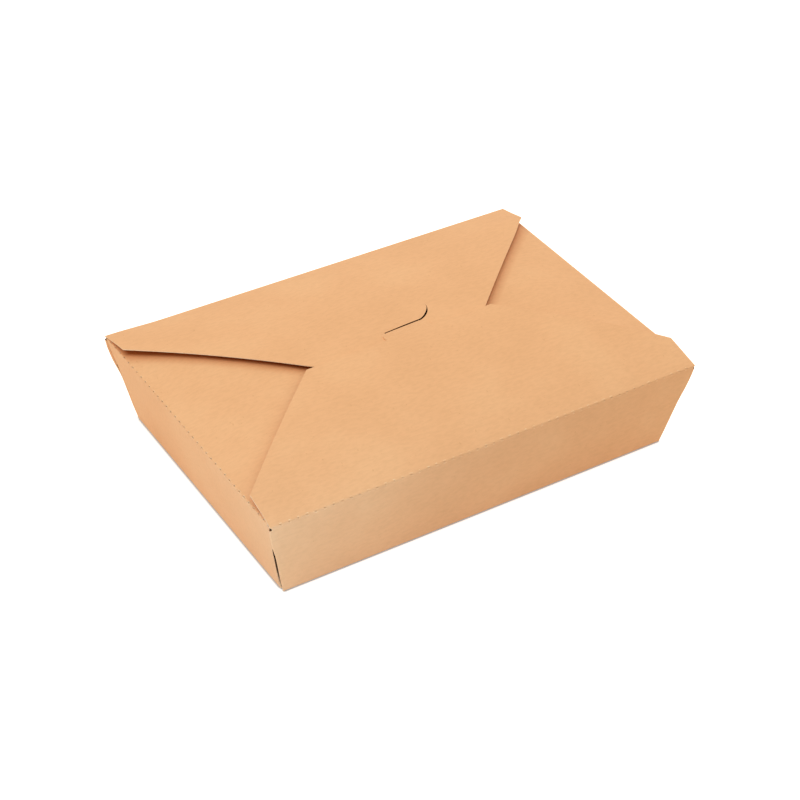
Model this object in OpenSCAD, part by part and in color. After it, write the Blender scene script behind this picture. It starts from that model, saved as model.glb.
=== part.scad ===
// Folded takeaway box of brown kraft board, closed.
// The floor, walls, corner webs, end flaps and back flap are one folded sheet.
// The front flap swings up about its perforated fold, and its tongue locks in the back flap's slit.
// Frame: the origin is on the table under the middle of the floor, +X runs along the front, +Z is up.

/* [Board] */
// Thickness of the board
board = 0.4; // [0.3:0.05:0.6]
// Height of the bead that the scoring rule raises along each fold
fold_bead = 0.05; // [0.02:0.01:0.1]
// Distance at which the scored folds stop short of each other at a corner
score_stop = 0.6; // [0.5:0.1:1.5]
// Air between layers of board that lie on each other
layer_gap = 0.15; // [0.1:0.05:0.3]

/* [Tray] */
// Length of the rim, over its folds
rim_l = 215; // [200:1:245]
// Width of the rim, over its folds
rim_w = 152; // [140:1:180]
// Height of the rim above the table
wall_h = 44.3; // [38:0.1:65]
// Length of the floor, over its folds
base_l = 197; // [180:1:212]
// Width of the floor, over its folds
base_w = 137.5; // [125:0.5:150]
// Opening between the two folds of a corner at the table, which closes at the rim
corner_gap = 1.2; // [0.8:0.1:2]
// Radius of the die-cut hole at each corner of the rim
relief_r = 1.1; // [0.8:0.1:1.6]

/* [Main flaps] */
// Height of the front flap's free edge above the rim
seam_h = 9.7; // [7:0.1:11.5]
// Distance of that edge in front of the box's middle
seam_off = 1.6; // [0:0.1:6]
// Angle at which the front flap leaves its fold
front_rise = 16.3; // [14:0.1:19]
// Angle at which the back flap leaves its fold
back_rise = 13.5; // [12:0.1:17]
// Length of the straight part of a flap's side edges
flap_side = 17.4; // [10:0.1:25]
// Length of the front flap's free edge
free_edge = 95.6; // [80:0.1:120]
// Width of the strip of the back flap that lies under the front flap
lap = 6.5; // [4:0.5:10]
// Distance of a main flap's side edges from the ends of the rim
flap_inset = 0.3; // [0.2:0.1:1]
// Air between the two main flaps where they overlap
seam_gap = 0.3; // [0.25:0.05:0.5]
// Air round the front flap's fold
hinge_gap = 0.25; // [0.2:0.05:0.4]

/* [End flaps] */
// Length of an end flap
end_len = 68; // [60:1:75]
// Distance of an end flap's fold from each corner of the rim
end_inset = 3; // [2.5:0.1:6]
// Angle at which an end flap rises from its fold
end_rise = 3; // [0:0.5:4]
// Angle of an end flap's side edges
end_taper = 33; // [28:1:38]

/* [Lock] */
// Distance from the seam to the straight part of the slit
lock_reach = 6.2; // [5:0.1:9]
// Length of the straight part of the slit
lock_len = 18.2; // [12:0.1:26]
// Place of the middle of that straight part along the box
lock_x = 4.4; // [-10:0.1:10]
// Radius of the slit's upturned end
lock_turn_r = 9.3; // [6:0.1:12]
// Air on each side of the tongue in the slit
lock_gap = 0.3; // [0.25:0.05:0.5]
// Radius of the tongue's corners
tongue_r = 2.8; // [1.5:0.1:4]
// Length of the tongue's end below the back flap
tongue_depth = 4; // [2:0.5:6]

/* [Perforation] */
// Distance from one cut of a perforated fold to the next
perf_pitch = 4.1; // [3.5:0.1:6]
// Length of each cut
perf_cut = 2; // [1.2:0.1:2.6]
// Depth of each cut into the board beside the fold
perf_depth = 0.6; // [0.5:0.1:1]

/* [Hidden] */
KRAFT = [0.93, 0.71, 0.50];
BIG_CIRCLE = 900;
half = board / 2;
bead_r = half + fold_bead;
pitch = board + layer_gap;
double_r = (pitch + board) / 2 + fold_bead;
CLEAR = 50;

// Fold lines run on the middle of the board
floor_z = half;
rim_z = wall_h - half;
base_x = base_l / 2 - half;
base_y = base_w / 2 - half;
rim_x = rim_l / 2 - half;
rim_y = rim_w / 2 - half;
end_run = norm([rim_x - base_x, rim_z - floor_z]);
front_run = norm([rim_y - base_y, rim_z - floor_z]);
end_lean = atan2(rim_x - base_x, rim_z - floor_z);
front_lean = atan2(rim_y - base_y, rim_z - floor_z);

// Front and back walls end inside the two layers of the corner webs
tuck = 2 * pitch / cos(end_lean);
wall_base_x = base_x - tuck;
wall_rim_x = rim_x - tuck;
end_base_y = base_y - corner_gap;
end_rim_y = rim_y - double_r;
web_drop = relief_r;

// A corner web is what the blank has between two walls, folded in half
web_angle = 90 - atan((wall_rim_x - wall_base_x) / front_run) - atan((rim_y - base_y) / end_run);
web_lean = web_angle / 2 - atan((rim_y - base_y) / end_run);
web_top = end_run - web_drop;
web_in = web_top * tan(web_lean);

// Arcs of the bowed flaps, seen along X, from a fold at the origin
front_reach = rim_y - seam_off;
back_seam = 2 * rim_y - front_reach;
back_reach = back_seam + lap;
front_r = arc_r(front_rise, front_reach, seam_h);
back_r = arc_r(back_rise, back_seam, seam_h - board - seam_gap);
flap_x = rim_x - flap_inset;
flap_slope = (flap_x - free_edge / 2) / (front_reach - flap_side);

// The tongue bends down where the slit is, on a circle about the front fold
lock_y = -seam_off + lock_reach;
bend_y = front_reach + lock_reach;
bend_z = arc_z(back_rise, back_r, back_seam - lock_reach) + board + seam_gap;
bend_r = norm([bend_y, bend_z]);
bend_angle = atan2(bend_z, bend_y);
tongue_angle = (tongue_depth + board) / bend_r * 180 / PI;
slit_w = board + 2 * lock_gap;

// Radius of an arc that leaves the origin at an angle and passes through a point
function arc_r(angle, y, z) = (y * y + z * z) / (2 * (y * sin(angle) - z * cos(angle)));

// Centre of that arc, and its height at a distance from the fold
function arc_centre(angle, r) = [r * sin(angle), -r * cos(angle)];
function arc_z(angle, r, y) = sqrt(r * r - pow(y - r * sin(angle), 2)) - r * cos(angle);

// Half width of a main flap at a distance from its fold
function flap_half(y) = flap_x - max(0, y - flap_side) * flap_slope;

// A flat panel of board, on the middle of its thickness
module panel(points) {
    linear_extrude(board, center = true) polygon(points);
}

// A round fold between two points of the plane z = 0
module fold_line(from, to, r = bead_r) {
    translate([from.x, from.y, 0])
        rotate([0, 0, atan2(to.y - from.y, to.x - from.x)])
            rotate([0, 90, 0])
                cylinder(r = r, h = norm(to - from), $fn = 24);
}

// Puts the plane of a wall in place: x along the wall, y up it, z outwards
module on_wall(turn, reach, lean) {
    rotate([0, 0, turn])
        translate([0, -reach, floor_z])
            rotate([90 + lean, 0, 0])
                children();
}

// Puts a flap's fold on the rim: x along the fold, y towards the box's middle, z up
module on_rim(turn, reach) {
    rotate([0, 0, turn])
        translate([0, -reach, rim_z])
            children();
}

// The floor
module floor_panel() {
    translate([0, 0, floor_z])
        panel([[-base_x, -base_y], [base_x, -base_y], [base_x, base_y], [-base_x, base_y]]);
}

// A front or back wall with its fold at the floor and at both sides
module long_wall() {
    panel([
        [-wall_base_x, 0], [wall_base_x, 0],
        [wall_rim_x, front_run], [-wall_rim_x, front_run],
    ]);
    fold_line([score_stop - wall_base_x, 0], [wall_base_x - score_stop, 0]);
    side_slope = (wall_rim_x - wall_base_x) / front_run;
    side_top = front_run - web_drop;
    for (side = [-1, 1])
        fold_line(
            [side * (wall_base_x + score_stop * side_slope), score_stop],
            [side * (wall_base_x + side_top * side_slope), side_top]
        );
}

// One corner web: two layers of board folded flat on the inside of an end wall
module corner_web() {
    fold_top = [end_rim_y - (end_rim_y - end_base_y) * web_drop / end_run, web_top];
    corner_top = [rim_y - (rim_y - base_y) * web_drop / end_run, web_top];
    diagonal_top = [base_y - web_in, web_top];
    translate([0, 0, -pitch / 2])
        fold_line([end_base_y, 0], fold_top, double_r);
    translate([0, 0, -pitch])
        panel([[end_base_y, 0], fold_top, diagonal_top]);
    translate([0, 0, -1.5 * pitch])
        fold_line([end_base_y, 0], diagonal_top, double_r);
    translate([0, 0, -2 * pitch])
        panel([[base_y, 0], corner_top, diagonal_top]);
}

// An end wall with its fold at the floor and the webs of its two corners
module end_wall() {
    shoulder = rim_y - end_inset;
    panel([
        [-end_base_y, 0], [end_base_y, 0],
        [end_rim_y, web_top], [shoulder, web_top], [shoulder, end_run],
        [-shoulder, end_run], [-shoulder, web_top], [-end_rim_y, web_top],
    ]);
    fold_line([-end_base_y, 0], [end_base_y, 0]);
    corner_web();
    mirror([1, 0, 0]) corner_web();
}

// An end flap, a trapezium that lies under both main flaps
module end_flap() {
    root = rim_y - end_inset;
    tip = root - end_len * tan(end_taper);
    fold_line([-root, 0], [root, 0]);
    rotate([end_rise, 0, 0])
        panel([[-root, 0], [root, 0], [tip, end_len], [-tip, end_len]]);
}

// A sheet bent to an arc that leaves the fold at an angle, cut to a plan outline
module bowed_sheet(angle, r, from, to) {
    c = arc_centre(angle, r);
    intersection() {
        rotate([90, 0, 90])
            linear_extrude(rim_l, center = true)
                intersection() {
                    difference() {
                        translate(c) circle(r = r + half, $fn = BIG_CIRCLE);
                        translate(c) circle(r = r - half, $fn = BIG_CIRCLE);
                    }
                    translate([from, -CLEAR]) square([to - from, 2 * CLEAR]);
                }
        translate([0, 0, -CLEAR]) linear_extrude(2 * CLEAR) children();
    }
}

// Plan outline of a main flap: straight sides, then edges that run in to the free edge
module flap_outline(reach) {
    polygon([
        [-flap_x, 0], [flap_x, 0], [flap_x, flap_side],
        [flap_half(reach), reach], [-flap_half(reach), reach], [-flap_x, flap_side],
    ]);
}

// Plan outline of the tongue, from a little inside the free edge to the bend
module tongue_outline() {
    inside = front_reach - board;
    side = lock_len / 2 + tongue_r;
    corner_y = bend_y - tongue_r;
    translate([lock_x, 0]) {
        translate([-side, inside]) square([2 * side, corner_y - inside]);
        translate([-lock_len / 2, inside]) square([lock_len, bend_y - inside]);
        for (end = [-1, 1])
            translate([end * lock_len / 2, corner_y]) circle(r = tongue_r, $fn = 48);
    }
}

// Plan outline of the slit, seen from the front: a straight cut with one end turned up
module slit_outline() {
    translate([lock_x, lock_y]) {
        translate([-lock_len / 2 - lock_gap, -slit_w / 2])
            square([lock_len + lock_gap, slit_w]);
        translate([lock_len / 2, lock_turn_r])
            intersection() {
                difference() {
                    circle(r = lock_turn_r + slit_w / 2, $fn = 96);
                    circle(r = lock_turn_r - slit_w / 2, $fn = 96);
                }
                translate([0, -2 * lock_turn_r]) square(2 * lock_turn_r);
            }
    }
}

// The cuts of a perforated fold, centred on the fold
module perforation(length) {
    count = floor(length / perf_pitch);
    for (i = [0:count - 1])
        translate([(i - (count - 1) / 2) * perf_pitch, 0, 0])
            cube([perf_cut, 2 * perf_depth, 2 * perf_depth], center = true);
}

// The back flap, with the slit that takes the tongue
module back_flap() {
    fold_line([-flap_x, 0], [flap_x, 0]);
    difference() {
        bowed_sheet(back_rise, back_r, 0, back_reach) flap_outline(back_reach);
        translate([0, rim_y, -CLEAR])
            rotate([0, 0, 180])
                linear_extrude(2 * CLEAR)
                    slit_outline();
    }
}

// The folded sheet without its front flap
module carton() {
    color(KRAFT)
        difference() {
            union() {
                floor_panel();
                for (turn = [0, 180])
                    on_wall(turn, base_y, front_lean) long_wall();
                for (turn = [90, -90]) {
                    on_wall(turn, base_x, end_lean) end_wall();
                    on_rim(turn, rim_x) end_flap();
                }
                on_rim(180, rim_y) back_flap();
            }
            on_rim(0, rim_y)
                translate([-rim_l / 2, 0, 0])
                    rotate([0, 90, 0])
                        cylinder(r = bead_r + hinge_gap, h = rim_l, $fn = 32);
            on_rim(0, rim_y) perforation(2 * wall_rim_x);
            on_rim(180, rim_y) perforation(2 * wall_rim_x);
            for (turn = [90, -90])
                on_rim(turn, rim_x) perforation(2 * (rim_y - end_inset));
        }
}

// The tongue's end, on a circle about the front fold so that it leaves the slit as the flap lifts
module tongue_end() {
    translate([lock_x, 0, 0])
        rotate([90, 0, 90])
            linear_extrude(lock_len, center = true)
                intersection() {
                    difference() {
                        circle(r = bend_r + half, $fn = BIG_CIRCLE);
                        circle(r = bend_r - half, $fn = BIG_CIRCLE);
                    }
                    polygon([
                        [0, 0],
                        2 * bend_r * [cos(bend_angle), sin(bend_angle)],
                        2 * bend_r * [cos(bend_angle - tongue_angle), sin(bend_angle - tongue_angle)],
                    ]);
                }
    translate([lock_x - lock_len / 2, bend_y, bend_z])
        rotate([0, 90, 0])
            cylinder(r = bead_r, h = lock_len, $fn = 24);
}

// The tongue's upper part follows the back flap's arc just above it
module tongue() {
    tongue_arc_r = back_r + board + seam_gap;
    lift = arc_z(back_rise, tongue_arc_r, back_seam) - seam_h;
    translate([0, 2 * rim_y, -lift])
        mirror([0, 1, 0])
            bowed_sheet(back_rise, tongue_arc_r, back_seam - lock_reach, back_seam + board)
                translate([0, 2 * rim_y]) mirror([0, 1]) tongue_outline();
    tongue_end();
}

// The front flap with its half of the perforated fold and its tongue
module front_flap() {
    color(KRAFT)
        on_rim(0, rim_y)
            difference() {
                union() {
                    fold_line([-flap_x, 0], [flap_x, 0]);
                    bowed_sheet(front_rise, front_r, 0, front_reach) flap_outline(front_reach);
                    tongue();
                }
                perforation(2 * wall_rim_x);
            }
}

carton();
front_flap();
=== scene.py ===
"""Looks of a folded takeaway box of brown kraft board, closed, on a white studio floor.

The box is one scored, perforated and folded sheet. Two pieces stand for it: the carton, which is the
floor, walls, corner webs, end flaps and back flap, and the front flap, which swings about its fold.
Sizes are in millimetres and meshes in metres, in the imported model's frame: +X along the front,
+Y to the back, +Z up, with the origin on the table under the floor's middle.
"""

import logging
import math
from dataclasses import dataclass, field
from enum import Enum
from typing import Callable, Iterable, Sequence

import bmesh
import bpy
from mathutils import Matrix, Vector

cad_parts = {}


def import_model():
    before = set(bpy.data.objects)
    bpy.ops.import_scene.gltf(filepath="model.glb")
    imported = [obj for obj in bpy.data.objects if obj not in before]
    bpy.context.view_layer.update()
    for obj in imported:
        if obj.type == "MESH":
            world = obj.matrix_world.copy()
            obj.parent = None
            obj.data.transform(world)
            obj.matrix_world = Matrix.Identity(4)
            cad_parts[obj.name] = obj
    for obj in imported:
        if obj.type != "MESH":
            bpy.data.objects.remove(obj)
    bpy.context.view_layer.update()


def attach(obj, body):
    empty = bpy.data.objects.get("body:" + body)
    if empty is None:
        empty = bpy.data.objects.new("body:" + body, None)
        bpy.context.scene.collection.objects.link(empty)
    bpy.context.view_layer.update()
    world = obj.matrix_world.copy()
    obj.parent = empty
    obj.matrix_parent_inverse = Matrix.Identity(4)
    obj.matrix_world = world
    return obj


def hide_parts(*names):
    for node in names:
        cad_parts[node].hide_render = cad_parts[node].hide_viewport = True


MM = 0.001
LOG = logging.getLogger("takeaway_box")

Point2 = tuple[float, float]
Point3 = tuple[float, float, float]
Colour = tuple[float, float, float, float]
Socket = bpy.types.NodeSocket

WHITE: Colour = (1.0, 1.0, 1.0, 1.0)


class Side(Enum):
    """The two ends of the box."""

    LEFT = -1
    RIGHT = 1


class Slot(Enum):
    """Material slots of a sheet of board."""

    FACE = 0
    CUT = 1
    # Slot of the painted shade deep in the corners' folds and on the cut walls of the slit and corner
    # holes.
    CREASE = 2
    # Slot of the end flaps' upper sides, which carry the back flap's painted shadow.
    END_FLAP_SHADOW = 3


def srgb(red: int, green: int, blue: int) -> Colour:
    """Turn a colour on the 0 to 255 screen scale into linear values.

    Args:
        red: Red, 0 to 255.
        green: Green, 0 to 255.
        blue: Blue, 0 to 255.

    Returns:
        Linear red, green, blue and an alpha of 1.
    """

    def linear(value: int) -> float:
        """Linear light of one channel."""
        share = value / 255
        return share / 12.92 if share <= 0.04045 else ((share + 0.055) / 1.055) ** 2.4

    return (linear(red), linear(green), linear(blue), 1.0)


@dataclass(frozen=True)
class FlapArc:
    """The arc of a bowed flap, seen along X, from its fold at the origin.

    Attributes:
        rise: Angle at which the flap leaves its fold, in degrees.
        radius: Radius of the arc.
    """

    rise: float
    radius: float

    @classmethod
    def through(cls, rise: float, reach: float, height: float) -> "FlapArc":
        """Make the arc that leaves the fold at an angle and passes through a point.

        Args:
            rise: Angle at the fold, in degrees.
            reach: Distance of the point from the fold.
            height: Height of the point above the fold.

        Returns:
            The arc.
        """
        angle = math.radians(rise)
        drop = reach * math.sin(angle) - height * math.cos(angle)
        return cls(rise, (reach**2 + height**2) / (2 * drop))

    def height(self, reach: float) -> float:
        """Find the height of the arc.

        Args:
            reach: Distance from the fold.

        Returns:
            The height above the fold.
        """
        angle = math.radians(self.rise)
        centre = self.radius * math.sin(angle)
        return math.sqrt(self.radius**2 - (reach - centre) ** 2) - self.radius * math.cos(angle)


@dataclass(frozen=True)
class BoxSizes:
    """Sizes of the folded sheet: most are the solids' own, and the last ones are the scene's.

    Attributes:
        board: Thickness of the board.
        layer_pitch: Distance between the middles of two folded layers.
        rim_l: Length of the box at the rim.
        rim_w: Width of the box at the rim.
        wall_h: Height of the walls.
        base_l: Length of the floor.
        base_w: Width of the floor.
        seam_h: Height of the seam of the main flaps above the rim.
        seam_off: How far in front of the middle the seam lies.
        front_rise: Angle at which the front flap leaves its fold, in degrees.
        back_rise: Angle at which the back flap leaves its fold, in degrees.
        flap_side: Length of a main flap's straight side, next to its fold.
        free_edge: Length of a main flap's free edge.
        lap: How far the back flap reaches under the front flap.
        flap_inset: How far a main flap's ends lie inside the rim's.
        seam_gap: Air between the main flaps at the seam.
        end_len: Length of an end flap from its fold.
        lock_reach: Distance of the slit from the front flap's free edge.
        lock_len: Length of the slit.
        lock_x: Place of the slit's middle along the box.
        lock_turn_r: Radius of the slit's turned end.
        tongue_r: Radius of the tongue's corners.
        tongue_depth: Depth of the tongue below the slit.
        perf_pitch: Distance from one cut of a fold to the next.
        perf_cut: Length of a cut.
        end_inset: How far an end flap's shoulders lie inside the rim's corners.
        end_taper: Slant of an end flap's sides, in degrees.
        flap_flare: How far a main flap stands out at each end of its fold.
        flare_fade: Distance over which that flare dies away.
        lock_skew: Slope of the slit, which isn't quite parallel to the free edge.
        web_drop: How far below the rim the corner webs end.
        rim_fold_r: Radius of the folds at the rim.
        base_fold_r: Radius of the folds at the floor.
        side_fold_r: Radius of the folds between the webs and the end walls.
        fold_lead: Distance from a main fold at which its flap takes its own shape.
        fold_overrun: Share of a chord by which each half of the front fold runs past its middle.
    """

    board: float = 0.4
    layer_pitch: float = 0.55
    rim_l: float = 215.0
    rim_w: float = 152.0
    wall_h: float = 44.3
    base_l: float = 197.0
    base_w: float = 137.5
    seam_h: float = 9.7
    seam_off: float = 1.6
    front_rise: float = 16.3
    back_rise: float = 13.5
    flap_side: float = 17.4
    free_edge: float = 95.6
    lap: float = 6.5
    flap_inset: float = 0.3
    seam_gap: float = 0.3
    end_len: float = 68.0
    lock_reach: float = 6.2
    lock_len: float = 18.2
    lock_x: float = 4.4
    lock_turn_r: float = 9.3
    tongue_r: float = 2.8
    tongue_depth: float = 4.0
    perf_pitch: float = 4.1
    perf_cut: float = 2.0
    end_inset: float = 2.5
    end_taper: float = 40.0
    flap_flare: float = 0.45
    flare_fade: float = 8.0
    lock_skew: float = 0.055
    web_drop: float = 0.55
    rim_fold_r: float = 0.45
    base_fold_r: float = 0.7
    side_fold_r: float = 0.35
    fold_lead: float = 1.2
    fold_overrun: float = 0.25

    @property
    def floor_z(self) -> float:
        """Middle of the floor's thickness."""
        return self.board / 2

    @property
    def rim_z(self) -> float:
        """Height of the rim's fold lines."""
        return self.wall_h - self.board / 2

    @property
    def base_x(self) -> float:
        """Half length of the floor."""
        return self.base_l / 2 - self.board / 2

    @property
    def base_y(self) -> float:
        """Half width of the floor."""
        return self.base_w / 2 - self.board / 2

    @property
    def rim_x(self) -> float:
        """Half length of the rim."""
        return self.rim_l / 2 - self.board / 2

    @property
    def rim_y(self) -> float:
        """Half width of the rim."""
        return self.rim_w / 2 - self.board / 2

    @property
    def flap_x(self) -> float:
        """Half length of a main flap at its fold."""
        return self.rim_x - self.flap_inset

    @property
    def front_reach(self) -> float:
        """Distance of the front flap's free edge from its fold."""
        return self.rim_y - self.seam_off

    @property
    def back_seam(self) -> float:
        """Distance of the seam from the back flap's fold."""
        return 2 * self.rim_y - self.front_reach

    @property
    def back_reach(self) -> float:
        """Distance of the back flap's hidden edge from its fold."""
        return self.back_seam + self.lap

    @property
    def flap_slope(self) -> float:
        """How much a main flap's oblique side runs in for each unit of its reach."""
        return (self.flap_x - self.free_edge / 2) / (self.front_reach - self.flap_side)

    @property
    def slit_y(self) -> float:
        """Place of the slit's middle across the box."""
        return self.lock_reach - self.seam_off

    @property
    def shoulder(self) -> float:
        """Half length of an end flap's fold."""
        return self.rim_y - self.end_inset

    @property
    def web_top_z(self) -> float:
        """Height at which the corner webs end, below the rim."""
        return self.rim_z - self.web_drop

    def share(self, z: float) -> float:
        """Share of the way from the floor's fold to the rim's fold at a height."""
        return (z - self.floor_z) / (self.rim_z - self.floor_z)

    def end_x(self, z: float) -> float:
        """Distance of an end wall from the middle at a height."""
        return self.base_x + (self.rim_x - self.base_x) * self.share(z)

    def long_y(self, z: float) -> float:
        """Distance of the front or back wall from the middle at a height."""
        return self.base_y + (self.rim_y - self.base_y) * self.share(z)

    def flap_half(self, reach: float) -> float:
        """Half length of a main flap at a distance from its fold."""
        return self.flap_x - max(0.0, reach - self.flap_side) * self.flap_slope

    def flap_stand(self, reach: float) -> float:
        """How far a main flap's ends stand out beyond its half length at a distance from its fold."""
        return self.flap_flare * math.exp(-reach / self.flare_fade)

    def front_arc(self) -> FlapArc:
        """Arc of the front flap."""
        return FlapArc.through(self.front_rise, self.front_reach, self.seam_h)

    def back_arc(self) -> FlapArc:
        """Arc of the back flap, which passes just under the front flap's free edge."""
        return FlapArc.through(self.back_rise, self.back_seam, self.seam_h - self.board - self.seam_gap)


def fillet(before: Point2, corner: Point2, after: Point2, radius: float, steps: int) -> list[Point2]:
    """Round the corner of a path with an arc.

    Args:
        before: A point of the path before the corner.
        corner: The corner.
        after: A point of the path after the corner.
        radius: Radius of the arc.
        steps: Number of chords of the arc.

    Returns:
        The points of the arc, with its two ends, in the path's order.
    """
    c = Vector(corner)
    u = (Vector(before) - c).normalized()
    v = (Vector(after) - c).normalized()
    opening = u.angle(v)
    centre = c + (u + v).normalized() * (radius / math.sin(opening / 2))
    first = c + u * (radius / math.tan(opening / 2)) - centre
    last = c + v * (radius / math.tan(opening / 2)) - centre
    turn = math.pi - opening
    points = []
    for i in range(steps + 1):
        t = i / steps
        spoke = (first * math.sin((1 - t) * turn) + last * math.sin(t * turn)) / math.sin(turn)
        points.append(tuple(centre + spoke))
    return points


def smooth_step(t: float) -> float:
    """Ease from 0 to 1 as t goes from 0 to 1."""
    t = max(0.0, min(1.0, t))
    return t * t * (3 - 2 * t)


def smooth_min(a: float, b: float, blend: float) -> float:
    """Lesser of two values, rounded where they are within a blend of each other."""
    t = max(0.0, blend - abs(a - b)) / blend
    return min(a, b) - t * t * blend / 4


def spread(low: float, high: float, count: int) -> list[float]:
    """Evenly spaced values from low to high, both included."""
    return [low + (high - low) * i / (count - 1) for i in range(count)]


def ramp(value: float, start: float, end: float) -> float:
    """Ease from 0 to 1 as a value goes from a start to an end, which may be the lesser."""
    return smooth_step((value - start) / (end - start))


def metres(point: Iterable[float]) -> Point3:
    """Turn a point in millimetres into metres."""
    return tuple(MM * c for c in point)


def add_object(name: str, data: bpy.types.ID) -> bpy.types.Object:
    """Put a mesh, lamp or camera in the scene.

    Args:
        name: Name of the object.
        data: Its mesh, lamp or camera.

    Returns:
        The object, at the origin.
    """
    made = bpy.data.objects.new(name, data)
    bpy.context.scene.collection.objects.link(made)
    return made


def flat_panel(name: str, corners: Sequence[Point3], material: bpy.types.Material) -> bpy.types.Object:
    """Make a flat panel of the studio.

    Args:
        name: Name of the panel.
        corners: Its four corners in order, in metres.
        material: Its material.

    Returns:
        The panel.
    """
    mesh = bpy.data.meshes.new(name)
    mesh.from_pydata(corners, [], [(0, 1, 2, 3)])
    mesh.materials.append(material)
    return add_object(name, mesh)


def plain_material(
    name: str, roughness: float, specular: float, colour: Colour = WHITE
) -> bpy.types.Material:
    """Make a material of one colour.

    Args:
        name: Name of the material.
        roughness: Roughness of the surface.
        specular: Strength of its reflections, 0.5 for a common one.
        colour: Its colour, where nothing else is linked to it.

    Returns:
        The material.
    """
    material = bpy.data.materials.new(name)
    material.use_nodes = True
    shader = material.node_tree.nodes["Principled BSDF"]
    shader.inputs["Base Color"].default_value = colour
    shader.inputs["Roughness"].default_value = roughness
    shader.inputs["Specular IOR Level"].default_value = specular
    return material


def math_node(tree: bpy.types.NodeTree, operation: str, *values: Socket | float) -> Socket:
    """Add a math node.

    Args:
        tree: The node tree.
        operation: What the node works out.
        values: Its inputs in order, each a socket or a number.

    Returns:
        Its result.
    """
    node = tree.nodes.new("ShaderNodeMath")
    node.operation = operation
    for value, socket in zip(values, node.inputs):
        if isinstance(value, bpy.types.NodeSocket):
            tree.links.new(value, socket)
        else:
            socket.default_value = value
    return node.outputs[0]


def pulp_noise(
    tree: bpy.types.NodeTree,
    scale: float,
    detail: float,
    stretch: Point3 = (1.0, 1.0, 1.0),
    roughness: float = 0.55,
) -> Socket:
    """Add a noise pattern on the piece's own coordinates.

    Args:
        tree: The material's node tree.
        scale: Scale of the noise, per metre.
        detail: Octaves of the noise.
        stretch: Stretch of the pattern along X, Y and Z.
        roughness: Strength of the finer octaves.

    Returns:
        The noise's value.
    """
    place = tree.nodes.new("ShaderNodeTexCoord")
    mapping = tree.nodes.new("ShaderNodeMapping")
    mapping.inputs["Scale"].default_value = stretch
    noise = tree.nodes.new("ShaderNodeTexNoise")
    noise.inputs["Scale"].default_value = scale
    noise.inputs["Detail"].default_value = detail
    noise.inputs["Roughness"].default_value = roughness
    tree.links.new(place.outputs["Object"], mapping.inputs["Vector"])
    tree.links.new(mapping.outputs["Vector"], noise.inputs["Vector"])
    return noise.outputs["Fac"]


def colour_ramp(tree: bpy.types.NodeTree, value: Socket, stops: Iterable[tuple[float, Colour]]) -> Socket:
    """Add a colour ramp.

    Args:
        tree: The material's node tree.
        value: The value that the ramp reads.
        stops: Pairs of a place on the ramp and a colour, the two ends first.

    Returns:
        The ramp's colour.
    """
    node = tree.nodes.new("ShaderNodeValToRGB")
    elements = node.color_ramp.elements
    for i, (place, colour) in enumerate(stops):
        element = elements[i] if i < 2 else elements.new(place)
        element.position = place
        element.color = colour
    tree.links.new(value, node.inputs["Fac"])
    return node.outputs["Color"]


def multiply(tree: bpy.types.NodeTree, amount: float, base: Socket, over: Socket) -> Socket:
    """Multiply a colour by another by a fixed amount.

    Args:
        tree: The material's node tree.
        amount: Share of the second colour.
        base: The first colour.
        over: The second colour.

    Returns:
        The mixed colour.
    """
    mix = tree.nodes.new("ShaderNodeMix")
    mix.data_type = "RGBA"
    mix.blend_type = "MULTIPLY"
    mix.inputs["Factor"].default_value = amount
    tree.links.new(base, mix.inputs[6])
    tree.links.new(over, mix.inputs[7])
    return mix.outputs[2]


class Sheet:
    """A thin sheet of board, collected as grids of its middle surface.

    Attributes:
        MERGE: Distance within which two points of the grids become one, in millimetres.
    """

    MERGE = 0.02

    def __init__(self, name: str) -> None:
        """Start an empty sheet.

        Args:
            name: Name of the piece that it becomes.
        """
        self.name = name
        self.vertices: list[Point3] = []
        self.faces: list[tuple[int, ...]] = []

    def grid(
        self,
        rows: Sequence[Sequence[Point3]],
        is_open: Callable[[int, int], bool] = lambda row, column: False,
    ) -> None:
        """Add a grid of quads.

        Args:
            rows: Rows of points, all of one length, in millimetres.
            is_open: Says whether the quad after a row and a column is left out.
        """
        start = len(self.vertices)
        width = len(rows[0])
        self.vertices.extend(point for row in rows for point in row)
        for i in range(len(rows) - 1):
            for j in range(width - 1):
                if is_open(i, j):
                    continue
                a = start + i * width + j
                self.faces.append((a, a + 1, a + width + 1, a + width))

    def build(self, thickness: float, shape: Callable[[Vector], Vector]) -> bpy.types.Object:
        """Merge the grids and give them the board's thickness.

        Args:
            thickness: Thickness of the board, in millimetres.
            shape: Moves each point of the middle surface, for the card's slight waves.

        Returns:
            The closed shell, with its cut edges in their own material slot.
        """
        mesh = bpy.data.meshes.new(self.name)
        mesh.from_pydata([metres(point) for point in self.vertices], [], self.faces)
        bm = bmesh.new()
        bm.from_mesh(mesh)
        bmesh.ops.remove_doubles(bm, verts=bm.verts, dist=self.MERGE * MM)
        bmesh.ops.delete(bm, geom=[v for v in bm.verts if not v.link_faces], context="VERTS")
        bmesh.ops.recalc_face_normals(bm, faces=bm.faces)
        for vertex in bm.verts:
            vertex.co = shape(vertex.co / MM) * MM
        bm.to_mesh(mesh)
        bm.free()
        piece = add_object(self.name, mesh)
        solidify = piece.modifiers.new("Board", "SOLIDIFY")
        solidify.thickness = thickness * MM
        solidify.offset = 0.0
        solidify.use_even_offset = True
        solidify.use_quality_normals = True
        solidify.thickness_clamp = 0.0
        solidify.material_offset_rim = Slot.CUT.value
        return piece


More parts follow.
